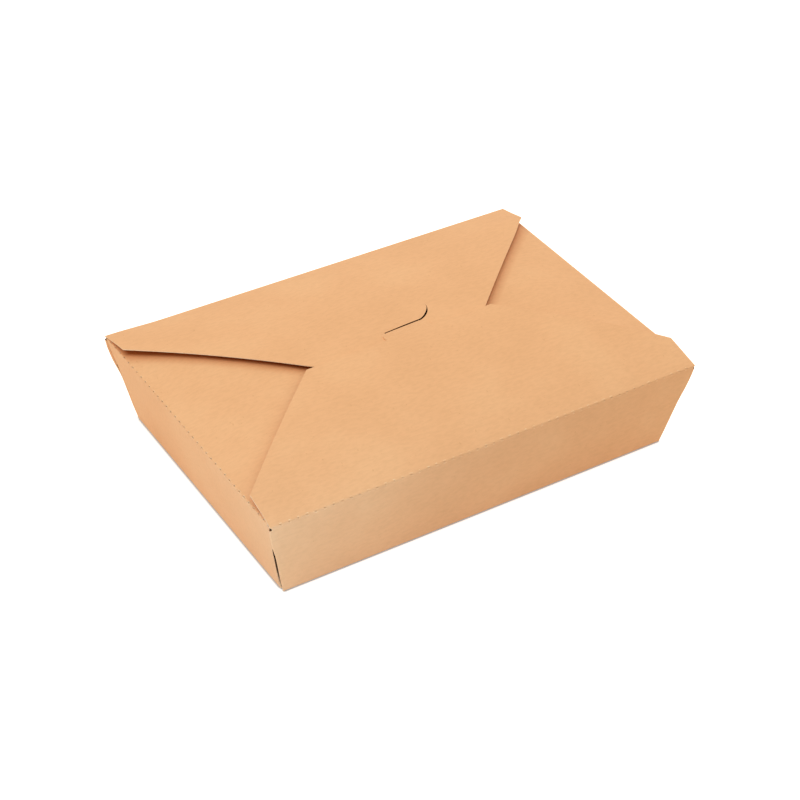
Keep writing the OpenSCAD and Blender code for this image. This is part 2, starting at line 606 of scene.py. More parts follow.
def apply_modifiers(piece: bpy.types.Object, sharp_deg: float = 32.0) -> None:
    """Turn a piece's modifiers into its mesh, smooth but for its hard edges.

    Args:
        piece: The piece.
        sharp_deg: Edges that turn by more than this stay sharp.
    """
    bpy.context.view_layer.update()
    graph = bpy.context.evaluated_depsgraph_get()
    made = bpy.data.meshes.new_from_object(piece.evaluated_get(graph))
    old = piece.data
    piece.modifiers.clear()
    piece.data = made
    bpy.data.meshes.remove(old)
    made.name = piece.name
    for polygon in made.polygons:
        polygon.use_smooth = True
    made.set_sharp_from_angle(angle=math.radians(sharp_deg))


def prism(outline: Sequence[Point2], low: float, high: float) -> bmesh.types.BMesh:
    """Make an upright prism.

    Args:
        outline: Its plan outline, in millimetres.
        low: Its bottom, in millimetres.
        high: Its top, in millimetres.

    Returns:
        The prism, in metres.
    """
    bm = bmesh.new()
    bottom = [bm.verts.new((x * MM, y * MM, low * MM)) for x, y in outline]
    top = [bm.verts.new((x * MM, y * MM, high * MM)) for x, y in outline]
    bm.faces.new(bottom)
    bm.faces.new(top)
    for i in range(len(outline)):
        j = (i + 1) % len(outline)
        bm.faces.new((bottom[i], bottom[j], top[j], top[i]))
    return bm


def cut_away(piece: bpy.types.Object, solids: Sequence[bmesh.types.BMesh]) -> None:
    """Cut solids that don't touch each other out of a piece; the walls that they cut take the painted
    crease shade.

    Args:
        piece: The piece, with its modifiers applied.
        solids: The solids, which are used up.
    """
    bm = bmesh.new()
    for solid in solids:
        part = bpy.data.meshes.new("part")
        solid.to_mesh(part)
        solid.free()
        bm.from_mesh(part)
        bpy.data.meshes.remove(part)
    bmesh.ops.recalc_face_normals(bm, faces=bm.faces)
    # The cut walls take the slot of painted shade, so the slit and the holes show dark.
    for face in bm.faces:
        face.material_index = Slot.CREASE.value
    mesh = bpy.data.meshes.new("cutter")
    bm.to_mesh(mesh)
    bm.free()
    for material in piece.data.materials:
        mesh.materials.append(material)
    cutter = add_object("cutter", mesh)
    cut = piece.modifiers.new("Cut", "BOOLEAN")
    cut.operation = "DIFFERENCE"
    cut.solver = "EXACT"
    cut.object = cutter
    apply_modifiers(piece)
    bpy.data.objects.remove(cutter)


@dataclass(frozen=True)
class KraftFinish:
    """Brown kraft board: a warm tan with cloudy pulp, short fibres and a fine tooth.

    Attributes:
        name: Name of the material.
        tone: Colour of the clean board.
        deep: Colour of its darker clouds.
        pale: Colour of its paler clouds.
        roughness: Roughness of the surface.
        tooth: Height of the paper's tooth, in metres.
        cloud_scale: Scale of the clouds, per metre.
        fibre_scale: Scale of the fibres and specks, per metre.
        tooth_scale: Scale of the tooth, per metre.
    """

    name: str
    tone: Colour
    deep: Colour
    pale: Colour
    roughness: float = 0.62
    tooth: float = 0.00003
    cloud_scale: float = 26.0
    fibre_scale: float = 900.0
    tooth_scale: float = 1500.0

    def _shade(self, tree: bpy.types.NodeTree, colour: Socket) -> Socket:
        """Leave the colour as it is, with no painted shadow, for a face that nothing covers."""
        return colour

    def build(self) -> bpy.types.Material:
        """Make the material.

        Returns:
            The material.
        """
        material = plain_material(self.name, self.roughness, 0.35)
        tree = material.node_tree
        shader = tree.nodes["Principled BSDF"]
        clouds = pulp_noise(tree, self.cloud_scale, 3.0)
        colour = colour_ramp(tree, clouds, [(0.32, self.deep), (0.68, self.pale), (0.5, self.tone)])
        fibres = pulp_noise(tree, self.fibre_scale, 2.0, (0.35, 1.0, 0.7))
        grain = colour_ramp(tree, fibres, [(0.30, srgb(247, 245, 243)), (0.62, WHITE)])
        colour = multiply(tree, 0.7, colour, grain)
        specks = pulp_noise(tree, self.fibre_scale, 1.0, (1.0, 0.4, 1.0))
        dots = colour_ramp(tree, specks, [(0.20, srgb(226, 210, 192)), (0.27, WHITE)])
        colour = multiply(tree, 0.4, colour, dots)
        tree.links.new(self._shade(tree, colour), shader.inputs["Base Color"])
        bump = tree.nodes.new("ShaderNodeBump")
        bump.inputs["Strength"].default_value = 0.35
        bump.inputs["Distance"].default_value = self.tooth
        tree.links.new(pulp_noise(tree, self.tooth_scale, 3.0), bump.inputs["Height"])
        tree.links.new(bump.outputs["Normal"], shader.inputs["Normal"])
        return material


@dataclass(frozen=True)
class ShadowedEndFlapFinish(KraftFinish):
    """Kraft board of an end flap with the back flap's shadow painted on: dark where the back flap covers
    it, and a softer painted shade just outside its edges.

    Attributes:
        sizes: Sizes of the box.
        shadow_core: Tint of the painted shadow on the covered part.
        beside: Tint of the painted shade at the outline.
        fade: Distance over which the painted shadow deepens inside the outline, in millimetres.
        outside: Distance over which the painted shade sets in outside the outline.
    """

    sizes: BoxSizes = BoxSizes()
    # Painted shadow: the end flap darkens towards the back flap's edges and deepens under it.
    shadow_core: Colour = (0.42, 0.22, 0.08, 1.0)
    beside: Colour = (0.89, 0.76, 0.69, 1.0)
    fade: float = 2.6
    outside: float = 7.0

    def _shade(self, tree: bpy.types.NodeTree, colour: Socket) -> Socket:
        """Paint the back flap's shadow: dark inside its outline and fading out beyond it.

        Args:
            tree: The material's node tree.
            colour: Colour of the bare board.

        Returns:
            The colour with the painted shadow.
        """
        s = self.sizes
        place = tree.nodes.new("ShaderNodeTexCoord")
        split = tree.nodes.new("ShaderNodeSeparateXYZ")
        tree.links.new(place.outputs["Object"], split.inputs["Vector"])
        past = math_node(tree, "SUBTRACT", (s.rim_y - s.flap_side) * MM, split.outputs["Y"])
        run_in = math_node(tree, "MULTIPLY", math_node(tree, "MAXIMUM", past, 0.0), s.flap_slope)
        edge = math_node(tree, "SUBTRACT", s.flap_x * MM, run_in)
        inside = math_node(tree, "SUBTRACT", edge, math_node(tree, "ABSOLUTE", split.outputs["X"]))
        inside = math_node(tree, "ADD", inside, self.outside * MM)
        share = math_node(tree, "DIVIDE", inside, (self.outside + self.fade) * MM)
        at_edge = self.outside / (self.outside + self.fade)
        stops = [(0.0, WHITE), (1.0, self.shadow_core), (at_edge, self.beside)]
        return multiply(tree, 1.0, colour, colour_ramp(tree, share, stops))


@dataclass(frozen=True)
class CutEdgeFinish:
    """The raw edge of the board, where the pale fibre shows.

    Attributes:
        name: Name of the material.
        pale: Colour of the loose fibre.
        dark: Colour of the pressed layers.
        fibre_scale: Scale of the fibre's pattern, per metre.
    """

    name: str = "cut_edge"
    pale: Colour = srgb(254, 218, 172)
    dark: Colour = srgb(243, 198, 150)
    fibre_scale: float = 1400.0

    def build(self) -> bpy.types.Material:
        """Make the material.

        Returns:
            The material.
        """
        material = plain_material(self.name, 0.85, 0.2)
        tree = material.node_tree
        fibre = pulp_noise(tree, self.fibre_scale, 3.0, roughness=0.5)
        colour = colour_ramp(tree, fibre, [(0.35, self.dark), (0.65, self.pale)])
        tree.links.new(colour, tree.nodes["Principled BSDF"].inputs["Base Color"])
        return material


@dataclass(frozen=True)
class CreaseShadeFinish:
    """Painted shade deep between the folds of a corner: a dark brown that stands for the shade there.

    Attributes:
        name: Name of the material.
        tone: Colour of the painted shade.
    """

    name: str = "painted_crease_shade"
    # A dark brown painted in for the shade deep in the folds.
    tone: Colour = srgb(88, 42, 18)

    def build(self) -> bpy.types.Material:
        """Make the material.

        Returns:
            The material.
        """
        return plain_material(self.name, 0.9, 0.0, self.tone)


@dataclass(frozen=True)
class Perforation:
    """A row of cuts along a fold.

    Attributes:
        length: Length of fold that has cuts.
        pitch: Distance from one cut to the next.
        cut: Length of a cut.
        middle: Half length of the part of a cut that gapes the most.
    """

    length: float
    pitch: float
    cut: float
    middle: float = 0.38

    def centres(self) -> list[float]:
        """Places of the cuts' middles along the fold, measured from its middle."""
        count = int(self.length // self.pitch)
        return [(i - (count - 1) / 2) * self.pitch for i in range(count)]

    def columns(self, half: float) -> list[float]:
        """Places of the cuts' ends and middles and of the fold's own ends.

        Args:
            half: Half length of the whole fold.

        Returns:
            The places, in order.
        """
        steps = (-self.cut / 2, -self.middle, self.middle, self.cut / 2)
        return [-half, *(centre + step for centre in self.centres() for step in steps), half]

    def is_cut(self, place: float) -> bool:
        """Whether a place along the fold lies in a cut."""
        return any(abs(place - centre) < self.cut / 2 for centre in self.centres())

    def is_cut_middle(self, place: float) -> bool:
        """Whether a place along the fold lies in the middle of a cut, which gapes the most."""
        return any(abs(place - centre) < self.middle for centre in self.centres())


def long_cuts(sizes: BoxSizes) -> Perforation:
    """Cuts of the front and back folds."""
    return Perforation(2 * (sizes.rim_x - 2 * sizes.layer_pitch), sizes.perf_pitch, sizes.perf_cut)


def front_bend(sizes: BoxSizes, steps: int = 8) -> list[Point2]:
    """The rounded front fold from the wall to the flap, as seen along X.

    Args:
        sizes: Sizes of the box.
        steps: Chords of the fold, an even number.

    Returns:
        Points of y and z.
    """
    s = sizes
    flap = (s.fold_lead - s.rim_y, s.rim_z + s.front_arc().height(s.fold_lead))
    wall = (-s.long_y(s.web_top_z), s.web_top_z)
    return fillet(wall, (-s.rim_y, s.rim_z), flap, s.rim_fold_r, steps)


def overrun(inner: Point2, end: Point2, share: float) -> Point2:
    """Move the end of a path on along its last chord.

    Args:
        inner: The point before the end.
        end: The end.
        share: Share of the chord by which the end moves.

    Returns:
        The moved end.
    """
    return (end[0] + share * (end[0] - inner[0]), end[1] + share * (end[1] - inner[1]))


def front_rim(sizes: BoxSizes, wall_half: float) -> list[Point3]:
    """Rows of the front wall's half of the fold.

    Args:
        sizes: Sizes of the box.
        wall_half: Half length of the wall below the fold.

    Returns:
        Rows of y, z and half length.
    """
    bend = front_bend(sizes)
    fold = bend[: len(bend) // 2 + 1]
    fold[-1] = overrun(fold[-2], fold[-1], sizes.fold_overrun)
    flap_half = sizes.flap_x + sizes.flap_flare
    rows = []
    for i, (y, z) in enumerate(fold):
        t = smooth_step(i / (len(fold) - 1))
        rows.append((y, z, (1 - t) * wall_half + t * flap_half))
    return rows


@dataclass(frozen=True)
class EndFlapShape:
    """Height of an end flap, which springs up against the undersides of the main flaps.

    Attributes:
        sizes: Sizes of the box.
        under_edge: Air below the oblique edges of the back flap.
        under_flaps: Air below the main flaps where they cover the end flap.
        spring: Distance over which the flap lifts off its fold.
        blend: Difference of heights below which the two limits run into each other.
        least: Least height above the rim, which keeps the fold from turning back.
    """

    sizes: BoxSizes
    under_edge: float = 2.3
    under_flaps: float = 0.25
    spring: float = 8.0
    blend: float = 0.7
    least: float = 0.08

    def height(self, reach: float, y: float) -> float:
        """Height of the middle surface above the rim.

        Args:
            reach: Distance from the end flap's fold.
            y: Place along the fold.

        Returns:
            The height.
        """
        s = self.sizes
        on_edge = s.flap_side + reach / s.flap_slope
        lift = s.back_arc().height(min(on_edge, s.back_seam)) - s.board - self.under_edge
        crown = lift * (1 - math.exp(-reach / self.spring))
        under_back = y > -s.seam_off - s.lap
        cover = s.back_arc().height(s.rim_y - y) if under_back else s.front_arc().height(s.rim_y + y)
        return max(self.least, smooth_min(crown, cover - s.board - self.under_flaps, self.blend))


@dataclass
class Carton:
    """The folded sheet without its front flap.

    The webs lie folded behind the front and back walls, whose side folds stand out at the corners.
    Below the middle the folds of a corner part a little and show a dark gap, partly real depth and partly
    painted shade on its inner faces.

    Attributes:
        sizes: Sizes of the box.
        wall_rows: Rows of a wall's grid between its folds.
        arc_steps: Chords of each rounded fold.
        roll_steps: Points of each fold of 180 degrees.
        bulge: Height of the walls' outward bulge.
        flare: How far the side folds of the long walls stand out near the rim.
        foot_tuck: How far those folds draw in at the floor.
        gap: Greatest extra opening between the folds of a corner.
        back_gap: The opening at a back corner, as a share of a front one's.
        web_swing: Angle at which a web leaves its fold where the corner opens most, in degrees.
        lip_dip: How far the tongue presses the slit's near lip down.
        hole_r: Radius of the die-cut hole at each corner of the rim.
        pulled: How far the rim's left back corner is pulled out.
        turn_power: Flattens the slit's turn; 1 makes it a round arc.
        raised: How far the back flap's right shoulder is lifted.
        loose_x: Places along the box between which the walls' corners begin to move.
        levels: Heights of the walls' rows.
    """

    sizes: BoxSizes
    wall_rows: int = 19
    arc_steps: int = 7
    roll_steps: int = 9
    bulge: float = 0.35
    flare: float = 0.85
    foot_tuck: float = 0.2
    gap: float = 2.1
    back_gap: float = 0.3
    web_swing: float = 55.0
    lip_dip: float = 0.45
    hole_r: float = 0.62
    pulled: Vector = field(default_factory=lambda: Vector((-0.5, 0.6, 0.4)))
    turn_power: float = 1.22
    raised: Vector = field(default_factory=lambda: Vector((-0.5, 0.2, 0.9)))
    loose_x: Point2 = (80.0, 105.0)
    levels: list[float] = field(init=False)

    def __post_init__(self) -> None:
        """Set the heights of the walls' rows."""
        s = self.sizes
        self.levels = spread(s.floor_z + 2 * s.base_fold_r, s.web_top_z, self.wall_rows)

    @property
    def roll(self) -> float:
        """Radius of a fold of 180 degrees."""
        return self.sizes.layer_pitch / 2

    def _fold_out(self, z: float) -> float:
        """Distance of a long wall's side fold from the middle at a height."""
        stand = self.flare * ramp(z, 22, 34) * (1 - 0.5 * ramp(z, 38, 44))
        return self.sizes.end_x(z) + stand - self.foot_tuck * ramp(z, 7, 0)

    def _long_half(self, z: float) -> float:
        """Half length of a long wall at a height, up to the start of its side folds."""
        return self._fold_out(z) - self.roll

    def _opening(self, z: float, y: float) -> float:
        """Extra opening between the two folds of a corner at a height, less so at the back."""
        gap = self.gap if y < 0 else self.back_gap * self.gap
        return gap * ramp(z, 38, 25) * ramp(z, -2.4, 3.6)

    def _web_y(self, z: float, y: float) -> float:
        """Distance from the middle of a web's inner layer, where it meets the end wall's fold."""
        s = self.sizes
        return s.long_y(z) - 2 * s.layer_pitch - self._opening(z, y)

    def _end_half(self, z: float, y: float) -> float:
        """Half width of an end wall at a height, up to the start of its fold towards y."""
        return self._web_y(z, y) - self.sizes.side_fold_r

    def _long_profile(self) -> tuple[list[Point3], int]:
        """Section of the long strip from the back flap's hidden edge to the top of the front wall.

        Returns:
            Rows of y, z and half length, and the row after which the back fold's cuts are open.
        """
        s = self.sizes
        arc = s.back_arc()
        slit = s.rim_y - s.slit_y
        near_slit = [slit + d for d in (5.2, 4.3, 3.4, 2.6, 1.9, 1.3, 0.8, 0.35, -0.75, -1.3, -2.0)]
        even = [r for r in spread(s.back_reach, s.fold_lead, 40) if not slit - 2.8 < r < slit + 5.8]
        even = [r for r in even if abs(r - s.flap_side) > 0.8]
        rows = []
        for reach in sorted([*even, *near_slit, s.flap_side], reverse=True):
            half = s.flap_half(reach) + s.flap_stand(reach)
            rows.append((s.rim_y - reach, s.rim_z + arc.height(reach), half))
        lead = (s.rim_y - s.fold_lead, s.rim_z + arc.height(s.fold_lead))
        top = self.levels[-1]
        bend = fillet(lead, (s.rim_y, s.rim_z), (s.long_y(top), top), s.rim_fold_r, self.arc_steps)
        first_bend = len(rows)
        for i, (y, z) in enumerate(bend):
            t = smooth_step(2 * i / self.arc_steps - 1)
            rows.append((y, z, (1 - t) * (s.flap_x + s.flap_flare) + t * self._long_half(z)))
        middle = first_bend + self.arc_steps // 2
        rows.extend((s.long_y(z), z, self._long_half(z)) for z in reversed(self.levels))
        foot, base_half = self.levels[0], self._base_half()
        back_foot = (s.long_y(foot), foot)
        bend = fillet(back_foot, (s.base_y, s.floor_z), (0.0, s.floor_z), s.base_fold_r, self.arc_steps)
        narrowing = (base_half - self._long_half(foot)) / self.arc_steps
        turn = [(y, z, self._long_half(foot) + narrowing * i) for i, (y, z) in enumerate(bend)]
        rows.extend(turn)
        rows.extend((y, s.floor_z, base_half) for y in spread(s.base_y - 2, 2 - s.base_y, 9))
        rows.extend((-y, z, half) for y, z, half in reversed(turn))
        rows.extend((-s.long_y(z), z, self._long_half(z)) for z in self.levels)
        rows.extend(front_rim(s, self._long_half(top)))
        return rows, middle

    def _base_half(self) -> float:
        """Find how far the floor goes before the ends' bottom folds start.

        Returns:
            Half length of the floor's flat part.
        """
        s = self.sizes
        turn = math.pi / 2 - math.atan2(s.rim_x - s.base_x, s.rim_z - s.floor_z)
        return s.base_x - s.base_fold_r * math.tan(turn / 2)

    def _long_strip(self, sheet: Sheet) -> None:
        """Add the back flap, back wall, floor and front wall, which run on in one strip.

        Args:
            sheet: The sheet.
        """
        s = self.sizes
        cuts = long_cuts(s)
        places = cuts.columns(s.flap_x)
        rows, middle = self._long_profile()
        grid = [[(x / s.flap_x * half, y, z) for x in places] for y, z, half in rows]
        front = len(rows) - 2

        def is_open(row: int, column: int) -> bool:
            """Say whether a quad is left out.

            Args:
                row: The row before the quad.
                column: The place before the quad.

            Returns:
                True in a cut of either perforated fold.
            """
            place = (places[column] + places[column + 1]) / 2
            if row == middle:
                return cuts.is_cut(place)
            return (row == front or abs(row - middle) == 1) and cuts.is_cut_middle(place)

        sheet.grid(grid, is_open)

    def _end_strip(self, sheet: Sheet, side: Side) -> None:
        """Add an end flap and its wall, down to the floor.

        Args:
            sheet: The sheet.
            side: Which end.
        """
        s = self.sizes
        sign = side.value
        flap = EndFlapShape(s)
        cuts = Perforation(2 * s.shoulder, s.perf_pitch, s.perf_cut)
        inner = cuts.columns(s.shoulder)
        places = [-s.shoulder - 1.0, *inner, s.shoulder + 1.0]
        across = [max(-s.shoulder, min(s.shoulder, y)) for y in places]
        grid: list[list[Point3]] = []
        for reach in [*spread(s.end_len, 16, 22), *spread(14.5, 1.0, 12)]:
            scale = 1 - reach * math.tan(math.radians(s.end_taper)) / s.shoulder
            x = sign * (s.rim_x - reach)
            grid.append([(x, y * scale, s.rim_z + flap.height(reach, y * scale)) for y in across])
        top = self.levels[-1]
        first_bend = len(grid)
        bends = [
            fillet(
                (s.rim_x - 1.0, s.rim_z + flap.height(1.0, y)),
                (s.rim_x, s.rim_z),
                (s.end_x(top), top),
                s.rim_fold_r,
                self.arc_steps,
            )
            for y in across
        ]
        for step in range(self.arc_steps + 1):
            grid.append([(sign * bend[step][0], y, bend[step][1]) for y, bend in zip(across, bends)])
        first_wall = len(grid)
        middle = first_bend + self.arc_steps // 2
        foot = self.levels[0]
        wall = [(s.end_x(z), z, z) for z in reversed(self.levels)]
        bend = fillet(
            (s.end_x(foot), foot), (s.base_x, s.floor_z), (0.0, s.floor_z), s.base_fold_r, self.arc_steps
        )
        wall.extend((x, z, foot) for x, z in bend)
        for x, z, level in wall:
            front, back = self._end_half(level, -1), self._end_half(level, 1)
            row = [(sign * x, y * min(1.0, (front - 0.6) / s.shoulder), z) for y in places]
            row[0] = (sign * x, -front, z)
            row[-1] = (sign * x, back, z)
            grid.append(row)
        last = len(places) - 2

        def is_open(row: int, column: int) -> bool:
            """Say whether a quad is left out.

            Args:
                row: The row before the quad.
                column: The place before the quad.

            Returns:
                True beyond the flap's shoulders and in a cut.
            """
            if column in (0, last):
                return row < first_wall
            place = (places[column] + places[column + 1]) / 2
            if row == middle:
                return cuts.is_cut(place)
            return abs(row - middle) <= 2 and cuts.is_cut_middle(place)

        sheet.grid(grid, is_open)

    def _corner_web(self, sheet: Sheet, end: Side, y_sign: int) -> None:
        """Add a corner web: from a long wall's side fold, back inside, and out to the end wall.

        Args:
            sheet: The sheet.
            end: Which end of the box.
            y_sign: -1 for a front corner, 1 for a back one.
        """
        s = self.sizes
        p, r, roll = s.layer_pitch, s.side_fold_r, self.roll
        half_turn = [(math.sin(a), 1 - math.cos(a)) for a in spread(0.0, math.pi, self.roll_steps)]
        rise = s.rim_z - s.floor_z
        slope_side = math.atan((s.rim_x - s.base_x) / rise)
        slope_end = math.atan((s.rim_y - s.base_y) / rise)
        full_room, deepest, least, settle = 9.0, 2.6, 0.05, 6.0
        lean = (math.pi / 2 - slope_side - slope_end) / 2 - slope_side
        rows = []
        for z in [0.3, 1.0, *self.levels]:
            wall_y, inner_y = s.long_y(z), self._web_y(z, y_sign)
            start_x = self._long_half(z)
            corner_x = s.end_x(z) - r
            deep_x = min(s.base_x - (z - s.floor_z) * math.tan(lean), start_x - 1.2)
            path = [(start_x + roll * out, wall_y - roll * down) for out, down in half_turn]
            path.extend((x, wall_y - p) for x in spread(start_x, deep_x, 8)[1:-1])
            path.extend((deep_x - roll * out, wall_y - p - roll * down) for out, down in half_turn)
            room = corner_x - deep_x
            swing = math.radians(self.web_swing) * smooth_step(room / full_room)
            lean_in = swing * self._opening(z, y_sign) / self.gap
            hollow = min(deepest, 0.3 * room) * math.sin(lean_in)
            turn_x = corner_x + r * math.sin(lean_in)
            turn_y = inner_y - r * (1 - math.cos(lean_in))
            for t in spread(0.0, 1.0, 18)[1:-1]:
                x = deep_x + t * (turn_x - deep_x)
                ease = smooth_step(t * room / min(settle, room))
                near = (turn_x - x) * math.tan(lean_in)
                fall = hollow * (1 - math.exp(-near / hollow)) if hollow > least else 0.0
                y = wall_y - 2 * p + ease * (turn_y - wall_y + 2 * p)
                path.append((x, y - fall * smooth_step(t * 2.2)))
            for angle in spread(lean_in, math.pi / 2, 7):
                path.append((corner_x + r * math.sin(angle), inner_y - r * (1 - math.cos(angle))))
            rows.append([(end.value * px, y_sign * py, z) for px, py in path])
        sheet.grid(rows)

    def _shape(self, point: Vector) -> Vector:
        """Bulge the walls outwards a little and press down the slit's near lip.

        Args:
            point: A point of the middle surface, in millimetres.

        Returns:
            The moved point.
        """
        s = self.sizes
        moved = point.copy()
        share = s.share(point.z)
        if 0.0 < share < 1.0:
            lift = math.sin(math.pi * share)
            if abs(abs(point.y) - s.long_y(point.z)) < 0.02:
                across = math.cos(math.pi / 2 * min(1.0, abs(point.x) / self._long_half(point.z)))
                moved.y += math.copysign(self.bulge * lift * across, point.y)
            if abs(abs(point.x) - s.end_x(point.z)) < 0.02:
                across = math.cos(math.pi / 2 * min(1.0, abs(point.y) / self._end_half(point.z, point.y)))
                moved.x += math.copysign(self.bulge * lift * across, point.x)
        start, end = self.loose_x
        corner = ramp(-point.x, start, end) * ramp(point.y, 50, 74)
        moved += self.pulled * corner * ramp(point.z, 20, 40)
        if point.z > s.rim_z + 0.4:
            shoulder = ramp(point.x, start, end) * math.exp(-(((point.y - 57) / 8) ** 2))
            moved += self.raised * shoulder
        lip = s.slit_y - 0.3
        beside = abs(point.x - s.lock_x)
        if point.z > s.rim_z + 5 and beside < 12 and point.y < lip:
            moved.z -= self.lip_dip * ramp(beside, 12, 8) * ramp(point.y, lip - 5.0, lip - 0.4)
        return moved

    def _slit(self) -> list[Point2]:
        """Draw the slit: a straight cut whose right end turns up, swells a little and narrows.

        Returns:
            Its plan outline.
        """
        s = self.sizes
        far_lip, near_lip, tip = 0.62, 0.35, 0.03
        far_swell, near_swell = 0.48, 0.16
        y = s.slit_y
        left = s.lock_x - s.lock_len / 2 - 0.3
        centre = (s.lock_x + s.lock_len / 2, y + s.lock_turn_r)
        far, near = [], []
        for t in spread(0.0, 1.0, 25):
            angle = t * math.radians(88)
            start, swell = (1 - t) ** 2, math.sin(math.pi * t) ** 2
            right, down = math.sin(angle), math.cos(angle)
            r_far = s.lock_turn_r - (far_lip * start + tip + far_swell * swell)
            r_near = s.lock_turn_r + (near_lip * start + tip + near_swell * swell)
            for edge, radius in ((far, r_far), (near, r_near)):
                x = radius * right**self.turn_power
                edge.append((centre[0] + x, centre[1] - radius * down**self.turn_power))
        blunt_end = [(left + 0.4, y + far_lip), (left, y + 0.3)]
        outline = [(left, y - near_lip - tip), *near, *reversed(far), *blunt_end]
        reach = s.lock_len / 2 + 1
        return [(x, py + s.lock_skew * max(-reach, min(reach, x - s.lock_x))) for x, py in outline]

    def _cutters(self) -> list[bmesh.types.BMesh]:
        """Make the solids that cut the slit and the four corner holes.

        Returns:
            The slit's prism and four drills, which come in from outside and above.
        """
        s = self.sizes
        top = s.rim_z + s.back_arc().height(s.back_seam)
        cutters = [prism(self._slit(), top - 1.5, top + 1.5)]
        out, drop, slant, depth = 0.3, 0.75, 0.9, 8.0
        for side in Side:
            for y_sign in (-1, 1):
                x_sign = side.value
                place = Vector((x_sign * (s.rim_x + out), y_sign * s.rim_y, s.rim_z - drop)) * MM
                aim = Vector((x_sign, y_sign, slant)).to_track_quat("Z", "Y").to_matrix().to_4x4()
                drill = bmesh.new()
                bmesh.ops.create_cone(
                    drill,
                    cap_ends=True,
                    segments=24,
                    radius1=self.hole_r * MM,
                    radius2=self.hole_r * MM,
                    depth=depth * MM,
                    matrix=Matrix.Translation(place) @ aim,
                )
                cutters.append(drill)
        return cutters

    def _in_crease(self, middle: Vector, normal: Vector) -> bool:
        """Whether a face lies deep between the folds of a corner, where shade is painted.

        Args:
            middle: Middle of the face, in millimetres.
            normal: The face's normal.

        Returns:
            True deep in the pocket between a long wall's fold and the end wall.
        """
        s = self.sizes
        z = middle.z
        if not 0.0 < z < s.web_top_z - 3 or self._opening(z, middle.y) < 0.2:
            return False
        x, y = abs(middle.x), abs(middle.y)
        wall_y = s.long_y(z)
        outward = normal.y * math.copysign(1.0, middle.y)
        if x < s.base_x - 14 or y < s.base_y - 8:
            return False
        layers = (wall_y - y) / s.layer_pitch
        depth = s.end_x(z) - x
        inner = outward > 0.1 and layers > 1.6 and depth > s.side_fold_r + 0.15
        outer = outward < -0.3 and 1.0 < layers < 1.8 and depth > 0.4
        return inner or outer

    def _on_end_flap(self, middle: Vector, normal: Vector) -> bool:
        """Whether a face is on top of an end flap.

        Args:
            middle: Middle of the face, in millimetres.
            normal: The face's normal.

        Returns:
            True on the upper side of an end flap.
        """
        s = self.sizes
        if normal.z < 0.6 or middle.z < s.rim_z + 0.1 or abs(middle.x) < s.rim_x - s.end_len - 1:
            return False
        reach = s.rim_y - middle.y
        if reach > s.back_reach or abs(middle.x) > s.flap_half(reach) + 0.6:
            return True
        return middle.z < s.rim_z + s.back_arc().height(reach) - 0.15

    def build(
        self,
        face: bpy.types.Material,
        cut: bpy.types.Material,
        crease_shade: bpy.types.Material,
        end_flap_shadow: bpy.types.Material,
    ) -> bpy.types.Object:
        """Build the carton.

        Args:
            face: Finish of the board's faces.
            cut: Finish of its cut edges.
            crease_shade: Painted shade deep between the folds of the corners and on the cut walls of the
                slit and corner holes.
            end_flap_shadow: Finish of the end flaps' upper sides, with the back flap's shadow painted on.

        Returns:
            The piece.
        """
        sheet = Sheet("carton_board")
        self._long_strip(sheet)
        for side in Side:
            self._end_strip(sheet, side)
            for y_sign in (-1, 1):
                self._corner_web(sheet, side, y_sign)
        piece = sheet.build(self.sizes.board, self._shape)
        for material in (face, cut, crease_shade, end_flap_shadow):
            piece.data.materials.append(material)
        apply_modifiers(piece)
        # Faces deep in a corner's pocket take the painted crease shade; the end flaps' upper sides take
        # the material that paints the back flap's shadow.
        for polygon in piece.data.polygons:
            if self._in_crease(polygon.center / MM, polygon.normal):
                polygon.material_index = Slot.CREASE.value
            elif self._on_end_flap(polygon.center / MM, polygon.normal):
                polygon.material_index = Slot.END_FLAP_SHADOW.value
        cut_away(piece, self._cutters())
        return piece


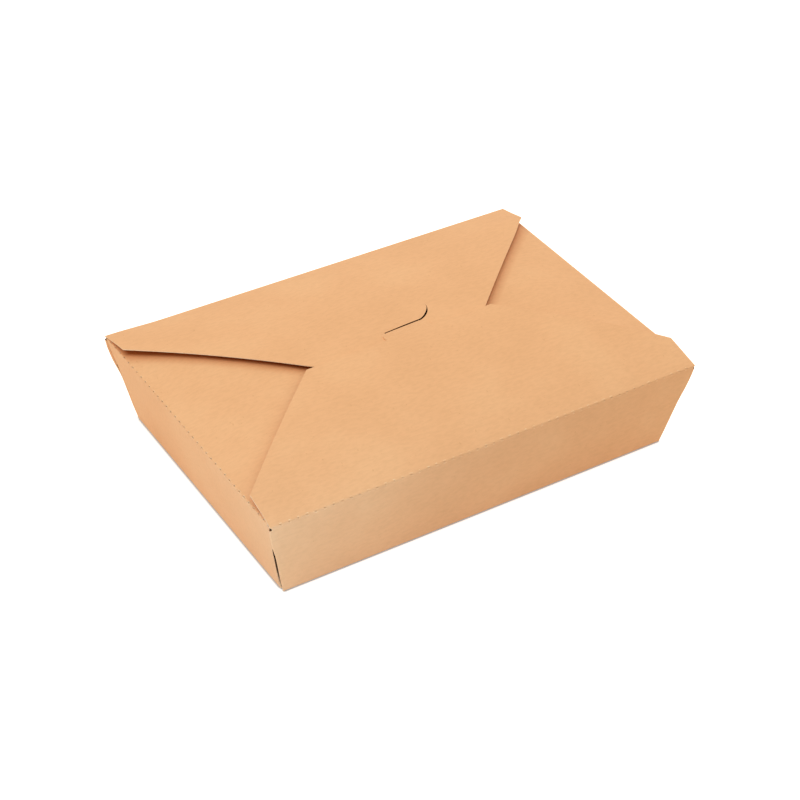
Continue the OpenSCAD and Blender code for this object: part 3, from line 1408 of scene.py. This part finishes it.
@dataclass
class FrontFlap:
    """The front flap, with its half of the perforated fold and its locking tongue.

    Attributes:
        sizes: Sizes of the box.
        arc_steps: Chords of the tongue's bend.
        dip: How far the tongue's bend lies below the back flap's arc.
        slack: How much shorter the flap is at its left free corner.
        bend_r: Radius of the tongue's bend.
    """

    sizes: BoxSizes
    arc_steps: int = 6
    dip: float = 0.5
    slack: float = 1.1
    bend_r: float = 0.4

    def _tongue_height(self, reach: float) -> float:
        """Find the height of the tongue, which lies on the back flap.

        Args:
            reach: Distance from the front fold.

        Returns:
            The height over the rim.
        """
        s = self.sizes
        over = s.board + 0.05
        past = reach - s.front_reach
        over += (s.seam_gap - 0.05) * ramp(past, 1.8, 0.0)
        over -= self.dip * ramp(past, s.lock_reach - 4.0, s.lock_reach - 0.2)
        return s.back_arc().height(2 * s.rim_y - reach) + over

    def _tongue_half(self, reach: float) -> float:
        """Find the half length of the tongue, which has round corners.

        Args:
            reach: Distance from the front fold.

        Returns:
            The half length.
        """
        s = self.sizes
        past = reach - (s.front_reach + s.lock_reach - s.tongue_r)
        if past <= 0:
            return s.lock_len / 2 + s.tongue_r
        return s.lock_len / 2 + math.sqrt(max(0.0, s.tongue_r**2 - past**2))

    def _tongue_profile(self) -> list[Point3]:
        """Section of the tongue from the free edge, over the back flap and down into the slit.

        Returns:
            Rows of distance from the fold, height over the rim, and half length.
        """
        s = self.sizes
        bend = (s.front_reach + s.lock_reach, self._tongue_height(s.front_reach + s.lock_reach))
        radius = math.hypot(*bend)
        start = math.atan2(bend[1], bend[0])
        rows = []
        for reach in spread(s.front_reach, bend[0] - 0.5, 15):
            rows.append((reach, self._tongue_height(reach), self._tongue_half(reach)))
        below = start - s.tongue_depth / radius
        end = (radius * math.cos(below), radius * math.sin(below))
        turn = fillet(rows[-1][:2], bend, end, self.bend_r, self.arc_steps)
        rows.extend((y, z, s.lock_len / 2 + 0.1) for y, z in turn)
        for step in spread(0.25, 1.0, 5):
            angle = start - step * s.tongue_depth / radius
            half = s.lock_len / 2 - 1.6 * step**3
            rows.append((radius * math.cos(angle), radius * math.sin(angle), half))
        return rows

    def build(self, face: bpy.types.Material, cut: bpy.types.Material) -> bpy.types.Object:
        """Build the front flap.

        Args:
            face: Finish of the board's faces.
            cut: Finish of its cut edges.

        Returns:
            The piece.
        """
        s = self.sizes
        arc = s.front_arc()
        cuts = long_cuts(s)
        side = s.lock_len / 2 + s.tongue_r
        to_root = s.flap_x / s.flap_half(s.front_reach)
        tongue_ends = [(s.lock_x - side) * to_root, (s.lock_x + side) * to_root]
        places = sorted([*cuts.columns(s.flap_x), *tongue_ends])
        bend = front_bend(s)
        fold = bend[len(bend) // 2 :]
        fold[0] = overrun(fold[1], fold[0], s.fold_overrun)
        wider = 1 + s.flap_flare / s.flap_x
        rows = [[(x * wider, y, z) for x in places] for y, z in fold]
        straight, oblique = spread(2.9, s.flap_side, 8), spread(s.flap_side + 2, s.front_reach, 30)
        for reach in [s.fold_lead, *straight, *oblique]:
            half = s.flap_half(reach) + s.flap_stand(reach)
            slack = self.slack * max(0.0, (reach - s.flap_side) / (s.front_reach - s.flap_side))
            row = []
            for place in places:
                x = place / s.flap_x * half
                back = slack * ramp(-x, 8, 48)
                y = reach - back
                row.append((x - back * s.flap_slope, y - s.rim_y, s.rim_z + arc.height(y)))
            rows.append(row)

        def is_open(row: int, column: int) -> bool:
            """Whether a quad lies in a cut of the fold."""
            return row == 0 and cuts.is_cut_middle((places[column] + places[column + 1]) / 2)

        sheet = Sheet("front_flap_board")
        sheet.grid(rows, is_open)
        seam_x = [x / to_root for x in places if tongue_ends[0] - 1e-6 <= x <= tongue_ends[1] + 1e-6]
        tongue = []
        for y, z, half in self._tongue_profile():
            askew = s.lock_skew * smooth_step((y - s.front_reach - 1) / (s.lock_reach - 2))
            offsets = [(x - s.lock_x) * half / side for x in seam_x]
            tongue.append([(s.lock_x + x, y - s.rim_y + askew * x, s.rim_z + z) for x in offsets])
        sheet.grid(tongue)
        piece = sheet.build(s.board, lambda point: point)
        piece.data.materials.append(face)
        piece.data.materials.append(cut)
        apply_modifiers(piece)
        return piece


@dataclass
class TornNicks:
    """Little ridges of torn fibre that a perforated fold raises, one at each cut.

    Attributes:
        length: Length of a ridge, in millimetres.
        width: Width of a ridge.
        height: Height of a ridge.
        seed: Seed of the ridges' variation.
        least: Least share of the length, width and height.
        most: Greatest share of them.
        askew: How far a ridge may turn off the fold's direction, in radians.
    """

    length: float = 2.0
    width: float = 0.34
    height: float = 0.26
    seed: int = 7
    least: Point3 = (0.55, 0.5, 0.45)
    most: Point3 = (1.1, 1.15, 1.25)
    askew: float = 0.16

    def _tree(self, finish: bpy.types.Material) -> bpy.types.NodeTree:
        """Build the node tree that sets a ridge on each point of a mesh.

        Args:
            finish: Finish of the ridges.

        Returns:
            The tree, with inputs for the ridge's sizes.
        """
        tree = bpy.data.node_groups.new("torn_nicks", "GeometryNodeTree")
        face = tree.interface
        face.new_socket("Geometry", in_out="INPUT", socket_type="NodeSocketGeometry")
        face.new_socket("Geometry", in_out="OUTPUT", socket_type="NodeSocketGeometry")
        for name in ("Length", "Width", "Height", "Turn"):
            face.new_socket(name, in_out="INPUT", socket_type="NodeSocketFloat")
        nodes, links = tree.nodes, tree.links
        entry = nodes.new("NodeGroupInput")
        leave = nodes.new("NodeGroupOutput")
        grain = nodes.new("GeometryNodeMeshIcoSphere")
        grain.inputs["Radius"].default_value = 0.5
        grain.inputs["Subdivisions"].default_value = 2
        size = nodes.new("ShaderNodeCombineXYZ")
        for axis, name in zip("XYZ", ("Length", "Width", "Height")):
            links.new(entry.outputs[name], size.inputs[axis])
        shape = nodes.new("GeometryNodeTransform")
        links.new(grain.outputs["Mesh"], shape.inputs["Geometry"])
        links.new(size.outputs["Vector"], shape.inputs["Scale"])
        vary = nodes.new("FunctionNodeRandomValue")
        vary.data_type = "FLOAT_VECTOR"
        vary.inputs[0].default_value = self.least
        vary.inputs[1].default_value = self.most
        vary.inputs["Seed"].default_value = self.seed
        skew = nodes.new("FunctionNodeRandomValue")
        skew.data_type = "FLOAT"
        skew.inputs[2].default_value = -self.askew
        skew.inputs[3].default_value = self.askew
        skew.inputs["Seed"].default_value = self.seed + 1
        turn = nodes.new("ShaderNodeCombineXYZ")
        links.new(math_node(tree, "ADD", entry.outputs["Turn"], skew.outputs[1]), turn.inputs["Z"])
        place = nodes.new("GeometryNodeInstanceOnPoints")
        links.new(entry.outputs["Geometry"], place.inputs["Points"])
        links.new(shape.outputs["Geometry"], place.inputs["Instance"])
        links.new(turn.outputs["Vector"], place.inputs["Rotation"])
        links.new(vary.outputs[0], place.inputs["Scale"])
        realize = nodes.new("GeometryNodeRealizeInstances")
        links.new(place.outputs["Instances"], realize.inputs["Geometry"])
        dress = nodes.new("GeometryNodeSetMaterial")
        dress.inputs["Material"].default_value = finish
        links.new(realize.outputs["Geometry"], dress.inputs["Geometry"])
        links.new(dress.outputs["Geometry"], leave.inputs["Geometry"])
        return tree

    def build(
        self,
        name: str,
        rows: Sequence[tuple[Sequence[Point3], float]],
        finish: bpy.types.Material,
    ) -> bpy.types.Object:
        """Set the ridges along rows of points.

        Args:
            name: Name of the piece.
            rows: Rows of points in millimetres, each with its direction in the plan, in radians.
            finish: Finish of the ridges.

        Returns:
            The piece, as a plain mesh.
        """
        tree = self._tree(finish)
        parts = []
        for points, direction in rows:
            mesh = bpy.data.meshes.new(name)
            mesh.from_pydata([metres(point) for point in points], [], [])
            part = add_object(name, mesh)
            modifier = part.modifiers.new("Nicks", "NODES")
            modifier.node_group = tree
            values = {
                "Length": self.length * MM,
                "Width": self.width * MM,
                "Height": self.height * MM,
                "Turn": direction,
            }
            for item in tree.interface.items_tree:
                if item.in_out == "INPUT" and item.name in values:
                    modifier[item.identifier] = values[item.name]
            parts.append(part)
        bpy.context.view_layer.update()
        graph = bpy.context.evaluated_depsgraph_get()
        bm = bmesh.new()
        for part in parts:
            made = bpy.data.meshes.new_from_object(part.evaluated_get(graph))
            bm.from_mesh(made)
            bpy.data.meshes.remove(made)
            bpy.data.objects.remove(part)
        mesh = bpy.data.meshes.new(name)
        bm.to_mesh(mesh)
        bm.free()
        mesh.materials.append(finish)
        for polygon in mesh.polygons:
            polygon.use_smooth = True
            polygon.material_index = 0
        return add_object(name, mesh)


@dataclass(frozen=True)
class Camera:
    """The photograph's viewpoint, for a picture 800 pixels square.

    Attributes:
        azimuth: Angle of the view round the box, in degrees.
        elevation: Angle of the view above the table, in degrees.
        distance: Distance from the target, in millimetres.
        target: The point that the camera looks at.
        roll: Turn of the picture about its middle, in degrees.
        focal: Focal length, in pixels of the picture.
        picture: Width of the picture, in pixels.
        sensor: Width of the sensor, in millimetres.
    """

    azimuth: float = -32.66
    elevation: float = 37.37
    distance: float = 884.0
    target: Point3 = (-8.57, -15.06, 30.0)
    roll: float = 1.26
    focal: float = 1993.4
    picture: float = 800.0
    sensor: float = 36.0

    def build(self) -> bpy.types.Object:
        """Make the camera and set it as the scene's.

        Returns:
            The camera.
        """
        a, e = math.radians(self.azimuth), math.radians(self.elevation)
        back = Vector((math.sin(a) * math.cos(e), -math.cos(a) * math.cos(e), math.sin(e)))
        right = Vector((math.cos(a), math.sin(a), 0.0))
        up = back.cross(right)
        r = math.radians(self.roll)
        right, up = math.cos(r) * right + math.sin(r) * up, math.cos(r) * up - math.sin(r) * right
        data = bpy.data.cameras.new("camera")
        data.sensor_width = self.sensor
        data.lens = self.focal / self.picture * self.sensor
        data.clip_start = 0.01
        data.clip_end = 20.0
        camera = add_object("camera", data)
        place = (Vector(self.target) + back * self.distance) * MM
        turn = Matrix((right, up, back)).transposed().to_4x4()
        camera.matrix_world = Matrix.Translation(place) @ turn
        bpy.context.scene.camera = camera
        return camera


@dataclass(frozen=True)
class Studio:
    """A bright white table under a soft sky, with a cool lamp near the front left corner.

    A dark card at the front right, which the camera doesn't see, keeps light off the front wall.
    Sizes and places are in metres.

    Attributes:
        floor_half: Half width of the floor.
        floor_tone: Colour of the floor in the light that it throws back.
        zenith: Light from straight above.
        horizon: Light from the horizon.
        table_glow: Light that the table gives off besides what it reflects.
        floor_lift: Light that the floor adds for the camera, so that it shows white.
        contact_shadow: Colour of the painted shadow line where the box meets the floor.
        contact_shadow_reach: Width of that painted line.
        contact_shadow_gain: How fast the painted line deepens towards the box.
        fill_power: Power of the lamp, in watts.
        fill_size: Width of the lamp.
        fill_tone: Colour of its light.
        fill_place: Place of the lamp.
        fill_aim: The point that it faces.
        card: Place of the card's middle along X and Y, its width, and the height of its top.
        card_foot: Height of its lower edge, which keeps it off the floor.
        card_tone: Colour of the card.
    """

    floor_half: float = 6.0
    floor_tone: Colour = (0.83, 0.72, 0.59, 1.0)
    zenith: float = 1.2
    horizon: float = 0.5
    table_glow: float = 0.2
    floor_lift: float = 0.6
    contact_shadow: Colour = (0.32, 0.304, 0.2816, 1.0)
    contact_shadow_reach: float = 0.0013
    contact_shadow_gain: float = 1.5
    fill_power: float = 0.22
    fill_size: float = 0.12
    fill_tone: Point3 = (0.1, 0.46, 1.0)
    fill_place: Point3 = (-0.2, -0.19, 0.04)
    fill_aim: Point3 = (-0.1, -0.075, 0.02)
    card: tuple[float, float, float, float] = (0.03, -0.28, 0.2, 0.19)
    card_foot: float = 0.01
    card_tone: Colour = (0.03, 0.03, 0.03, 1.0)

    def _world(self) -> None:
        """Light the scene from a soft sky, with white for the camera and for reflections."""
        world = bpy.data.worlds.new("studio")
        bpy.context.scene.world = world
        world.use_nodes = True
        tree = world.node_tree
        tree.nodes.clear()
        path = tree.nodes.new("ShaderNodeLightPath")
        seen = math_node(tree, "MAXIMUM", path.outputs["Is Camera Ray"], path.outputs["Is Glossy Ray"])
        seen = math_node(tree, "MAXIMUM", seen, path.outputs["Is Transmission Ray"])
        place = tree.nodes.new("ShaderNodeTexCoord")
        split = tree.nodes.new("ShaderNodeSeparateXYZ")
        tree.links.new(place.outputs["Generated"], split.inputs["Vector"])
        sky = tree.nodes.new("ShaderNodeMapRange")
        sky.inputs["To Min"].default_value = self.horizon
        sky.inputs["To Max"].default_value = self.zenith
        tree.links.new(split.outputs["Z"], sky.inputs["Value"])
        light, white = (tree.nodes.new("ShaderNodeBackground") for _ in range(2))
        light.inputs["Color"].default_value = WHITE
        white.inputs["Color"].default_value = WHITE
        white.inputs["Strength"].default_value = 1.0
        tree.links.new(sky.outputs["Result"], light.inputs["Strength"])
        mix = tree.nodes.new("ShaderNodeMixShader")
        out = tree.nodes.new("ShaderNodeOutputWorld")
        tree.links.new(seen, mix.inputs["Fac"])
        tree.links.new(light.outputs["Background"], mix.inputs[1])
        tree.links.new(white.outputs["Background"], mix.inputs[2])
        tree.links.new(mix.outputs["Shader"], out.inputs["Surface"])

    def _floor(self) -> None:
        """Make the floor, which the camera sees white but for a painted contact shadow: a grey line where
        the box stands.
        """
        material = plain_material("floor_white", 0.9, 0.1, self.floor_tone)
        tree = material.node_tree
        shader = tree.nodes["Principled BSDF"]
        shader.inputs["Emission Color"].default_value = WHITE
        seen = tree.nodes.new("ShaderNodeLightPath").outputs["Is Camera Ray"]
        glow = math_node(tree, "MULTIPLY_ADD", seen, self.floor_lift, self.table_glow)
        tree.links.new(glow, shader.inputs["Emission Strength"])
        # Painted contact shadow: where ambient occlusion finds the box close, the camera sees a grey
        # emission instead of the floor.
        near = tree.nodes.new("ShaderNodeAmbientOcclusion")
        near.samples = 8
        near.inputs["Distance"].default_value = self.contact_shadow_reach
        shade = math_node(tree, "SUBTRACT", 1.0, near.outputs["AO"])
        shade = math_node(tree, "MULTIPLY", shade, self.contact_shadow_gain)
        shade = math_node(tree, "MULTIPLY", math_node(tree, "MINIMUM", shade, 1.0), seen)
        painted_contact_shadow = tree.nodes.new("ShaderNodeEmission")
        painted_contact_shadow.inputs["Color"].default_value = self.contact_shadow
        mix = tree.nodes.new("ShaderNodeMixShader")
        tree.links.new(shade, mix.inputs["Fac"])
        tree.links.new(shader.outputs["BSDF"], mix.inputs[1])
        tree.links.new(painted_contact_shadow.outputs["Emission"], mix.inputs[2])
        tree.links.new(mix.outputs["Shader"], tree.nodes["Material Output"].inputs["Surface"])
        h = self.floor_half
        floor = flat_panel("floor", [(-h, -h, 0), (h, -h, 0), (h, h, 0), (-h, h, 0)], material)

    def _dark_card(self) -> None:
        """Stand the dark card at the front right."""
        x, y, width, top = self.card
        left, right, foot = x - width / 2, x + width / 2, self.card_foot
        corners = [(left, y, foot), (right, y, foot), (right, y, top), (left, y, top)]
        card = flat_panel("card", corners, plain_material("card_dark", 1.0, 0.0, self.card_tone))
        card.visible_camera = False
        card.visible_glossy = False

    def _fill(self) -> None:
        """Set the small cool lamp near the front left corner."""
        data = bpy.data.lights.new("fill", "AREA")
        data.shape = "SQUARE"
        data.size = self.fill_size
        data.energy = self.fill_power
        data.color = self.fill_tone
        lamp = add_object("fill", data)
        lamp.location = self.fill_place
        lamp.rotation_mode = "QUATERNION"
        ahead = Vector(self.fill_aim) - Vector(self.fill_place)
        lamp.rotation_quaternion = ahead.to_track_quat("-Z", "Y")
        lamp.visible_camera = False
        lamp.visible_glossy = False

    def build(self) -> None:
        """Set up the floor, the world, the lamp and the card."""
        bpy.context.scene.view_settings.view_transform = "Standard"
        self._world()
        self._floor()
        self._dark_card()
        self._fill()


def fold_points(sizes: BoxSizes) -> dict[str, list[tuple[list[Point3], float]]]:
    """Places of the torn nicks on each perforated fold: both lips of each cut.

    The flap's lip lies inside the fold and a little above the rim, and the wall's lip below it.

    Args:
        sizes: Sizes of the box.

    Returns:
        For each body, rows of points with their direction in the plan.
    """
    s = sizes
    across = long_cuts(s).centres()
    along = Perforation(2 * s.shoulder, s.perf_pitch, s.perf_cut).centres()
    flap_lip, front_lip = 0.42, 0.56
    front_out, end_out = 0.1, 0.08
    upper, lower = s.rim_z + 0.24, s.rim_z - 0.62
    front_up = [(x, front_lip - s.rim_y, upper) for x in across]
    front_down = [(x, -s.rim_y - front_out, lower) for x in across]
    back_up = [(x, s.rim_y - flap_lip, upper) for x in across]
    rows = [(front_down, 0.0), (back_up, 0.0)]
    for side in Side:
        up = [(side.value * (s.rim_x - flap_lip), y, upper) for y in along]
        down = [(side.value * (s.rim_x + end_out), y, lower) for y in along]
        rows.extend([(up, math.pi / 2), (down, math.pi / 2)])
    return {"front_flap": [(front_up, 0.0)], "carton": rows}


def main() -> None:
    """Build the box's looks around its frame."""
    logging.basicConfig(level=logging.INFO)
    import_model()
    Studio().build()
    Camera().build()
    sizes = BoxSizes()
    tones = (srgb(244, 185, 129), srgb(241, 182, 126), srgb(246, 189, 133))
    face = KraftFinish("kraft_board", *tones).build()
    # The end flaps' material paints the back flap's shadow on them.
    end_flap_shadow = ShadowedEndFlapFinish("kraft_end_flap_painted_shadow", *tones).build()
    cut = CutEdgeFinish().build()
    fibre = CutEdgeFinish("torn_fibre", pale=srgb(255, 214, 162), dark=srgb(248, 200, 148)).build()
    # The corners' pockets and the walls of the slit and holes get painted shade.
    carton = Carton(sizes).build(face, cut, CreaseShadeFinish().build(), end_flap_shadow)
    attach(carton, "carton")
    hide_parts("carton")
    LOG.info("carton: %d faces", len(carton.data.polygons))
    flap = FrontFlap(sizes).build(face, cut)
    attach(flap, "front_flap")
    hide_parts("front_flap")
    LOG.info("front flap: %d faces", len(flap.data.polygons))
    ridges = {
        "carton": TornNicks(),
        "front_flap": TornNicks(length=2.4, width=0.6, height=0.44, seed=11),
    }
    for body, rows in fold_points(sizes).items():
        nicks = ridges[body].build(f"{body}_nicks", rows, fibre)
        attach(nicks, body)
        LOG.info("%s nicks: %d faces", body, len(nicks.data.polygons))


if __name__ == "__main__":
    main()
